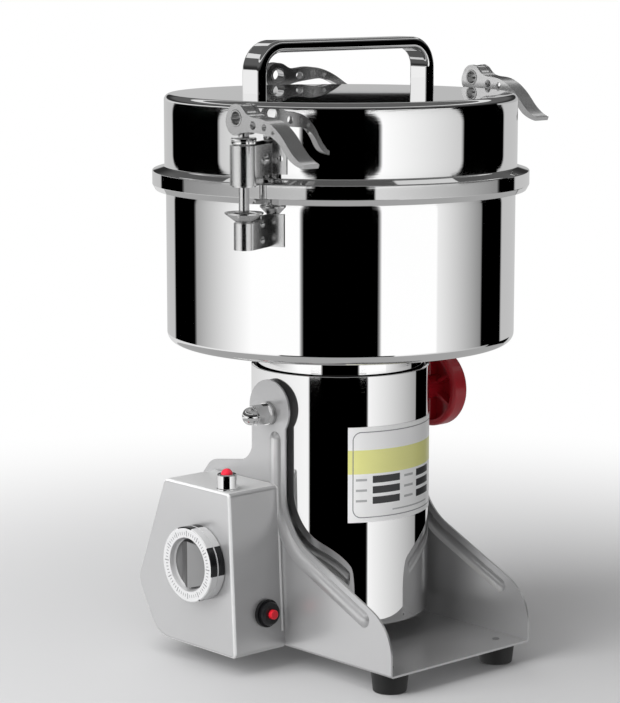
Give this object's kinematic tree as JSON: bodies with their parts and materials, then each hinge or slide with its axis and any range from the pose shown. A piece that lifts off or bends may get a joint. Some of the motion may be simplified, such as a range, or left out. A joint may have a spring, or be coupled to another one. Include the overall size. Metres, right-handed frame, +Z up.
{
  "type": "commercial spice grinder",
  "caption": "Tilting pot spice grinder: floor frame with control box, upright motor, bladed steel bowl, clamped lid with a handle, cam latches and a tilt lock knob.",
  "frame": {"origin": "middle of the underside of the whole, on the floor", "axes": "+Z up; X along the tilt axis, control box on -X and lock knob on +X; the pot pours to -Y"},
  "size_m": [0.3148, 0.2854, 0.4441],
  "materials": {
    "frame_paint": "silver grey semi-gloss paint",
    "polished_steel": "mirror polished stainless steel",
    "plain_steel": "plain machined steel",
    "bright_screws": "bright zinc plated steel",
    "foot_rubber": "matt black rubber",
    "seal_rubber": "soft pale silicone",
    "timer_case": "dark moulded case",
    "knob_silver": "silver moulded knob",
    "lamp_chrome": "bright chrome ring",
    "lamp_red": "clear red dome",
    "black_plastic": "black moulded plastic",
    "button_red": "red moulded plastic",
    "knob_red": "red moulded plastic, satin",
    "cast_aluminium": "as cast, machined seats",
    "core_steel": "laminated steel",
    "copper": "varnished copper",
    "carbon": "carbon block",
    "brush_brass": "brass holder",
    "fan_plastic": "black moulded fan",
    "blade_steel": "ground blade steel",
    "latch_steel": "satin stainless steel",
    "label": "printed sheet, bare of lettering"
  },
  "bodies": {
    "stand": {"base_frame": "frame_paint", "rubber_feet": "foot_rubber", "foot_screws": "bright_screws", "control_box": "frame_paint", "control_box_screws": "bright_screws", "timer_body": "timer_case", "panel_nuts": "bright_screws", "lamp_bezel": "lamp_chrome", "lamp_lens": "lamp_red", "breaker_body": "black_plastic", "cable_gland": "black_plastic", "pivot_washers": "plain_steel"},
    "timer_dial": {"timer_shaft": "plain_steel", "timer_knob": "knob_silver"},
    "breaker_push": {"breaker_button": "button_red"},
    "pot": {"motor_shell": "polished_steel", "neck_collar": "polished_steel", "shaft_bearings": "plain_steel", "motor_spider": "cast_aluminium", "stator_core": "core_steel", "field_coils": "copper", "carbon_brushes": "carbon", "brush_holders": "brush_brass", "grinding_bowl": "polished_steel", "bowl_screws": "bright_screws", "shaft_seal": "seal_rubber", "bowl_catches": "latch_steel", "catch_rivets": "bright_screws", "rating_label": "label", "pivot_bolt": "lamp_chrome"},
    "lock": {"lock_stud": "plain_steel", "lock_knob": "knob_red"},
    "rotor": {"motor_shaft": "plain_steel", "rotor_core": "core_steel", "rotor_windings": "copper", "commutator": "copper", "cooling_fan": "fan_plastic", "lower_blade": "blade_steel", "blade_spacers": "plain_steel", "upper_blade": "blade_steel", "blade_nut": "plain_steel"},
    "lid": {"grinder_lid": "polished_steel", "lid_gasket": "seal_rubber", "lid_handle": "polished_steel", "handle_screws": "bright_screws", "latch_brackets": "latch_steel", "bracket_fasteners": "bright_screws"},
    "cap_front": {"latch_cap_front": "lamp_chrome"},
    "rod_front": {"latch_rod_front": "latch_steel", "latch_pin_front": "lamp_chrome"},
    "lever_front": {"latch_lever_front": "latch_steel"},
    "cap_side": {"latch_cap_side": "lamp_chrome"},
    "rod_side": {"latch_rod_side": "latch_steel", "latch_pin_side": "lamp_chrome"},
    "lever_side": {"latch_lever_side": "latch_steel"},
    "cap_rear": {"latch_cap_rear": "lamp_chrome"},
    "rod_rear": {"latch_rod_rear": "latch_steel", "latch_pin_rear": "lamp_chrome"},
    "lever_rear": {"latch_lever_rear": "latch_steel"}
  },
  "joints": [
    {"name": "pot_tilt", "type": "hinge", "parent": "stand", "child": "pot", "pos_m": [-0.00527, -0.00803, 0.182], "axis": [1, 0, 0], "range_deg": [0, 85]},
    {"name": "lock_turn", "type": "hinge", "parent": "pot", "child": "lock", "pos_m": [-0.00527, -0.00803, 0.182], "axis": [1, 0, 0], "range_deg": [0, 360]},
    {"name": "rotor_spin", "type": "hinge", "parent": "pot", "child": "rotor", "pos_m": [-0.00527, -0.00803, 0.182], "axis": [0, 0, 1], "continuous": true},
    {"name": "lid_lift", "type": "slide", "parent": "pot", "child": "lid", "axis": [0, 0, 1], "range_m": [0, 0.15]},
    {"name": "timer_turn", "type": "hinge", "parent": "stand", "child": "timer_dial", "pos_m": [-0.12127, 0.01197, 0.078], "axis": [1, 0, 0], "range_deg": [0, 300]},
    {"name": "breaker_press", "type": "slide", "parent": "stand", "child": "breaker_push", "axis": [0, 0.9987, -0.0508], "range_m": [0, 0.002], "stiffness_N_per_m": 300},
    {"name": "front_swivel", "type": "hinge", "parent": "lid", "child": "cap_front", "pos_m": [-0.14445, -0.06398, 0.379], "axis": [0, 0, -1], "range_deg": [0, 90]},
    {"name": "front_rod_slide", "type": "slide", "parent": "cap_front", "child": "rod_front", "axis": [0, 0, 1], "range_m": [0, 0.015]},
    {"name": "front_lever", "type": "hinge", "parent": "rod_front", "child": "lever_front", "pos_m": [-0.14445, -0.06398, 0.3965], "axis": [-1, 0, 0], "range_deg": [0, 105]},
    {"name": "side_swivel", "type": "hinge", "parent": "lid", "child": "cap_side", "pos_m": [0.14445, 0.00112, 0.379], "axis": [0, 0, 1], "range_deg": [0, 90]},
    {"name": "side_rod_slide", "type": "slide", "parent": "cap_side", "child": "rod_side", "axis": [0, 0, 1], "range_m": [-0.015, 0]},
    {"name": "side_lever", "type": "hinge", "parent": "rod_side", "child": "lever_side", "pos_m": [0.14445, 0.00112, 0.4115], "axis": [-1, 0, 0], "range_deg": [0, 105]},
    {"name": "rear_swivel", "type": "hinge", "parent": "lid", "child": "cap_rear", "pos_m": [0.05406, 0.12973, 0.379], "axis": [0, 0, 1], "range_deg": [0, 90]},
    {"name": "rear_rod_slide", "type": "slide", "parent": "cap_rear", "child": "rod_rear", "axis": [0, 0, 1], "range_m": [-0.015, 0]},
    {"name": "rear_lever", "type": "hinge", "parent": "rod_rear", "child": "lever_rear", "pos_m": [0.05406, 0.12973, 0.4115], "axis": [-0.3746, -0.9272, 0], "range_deg": [-12, 93]}
  ]
}
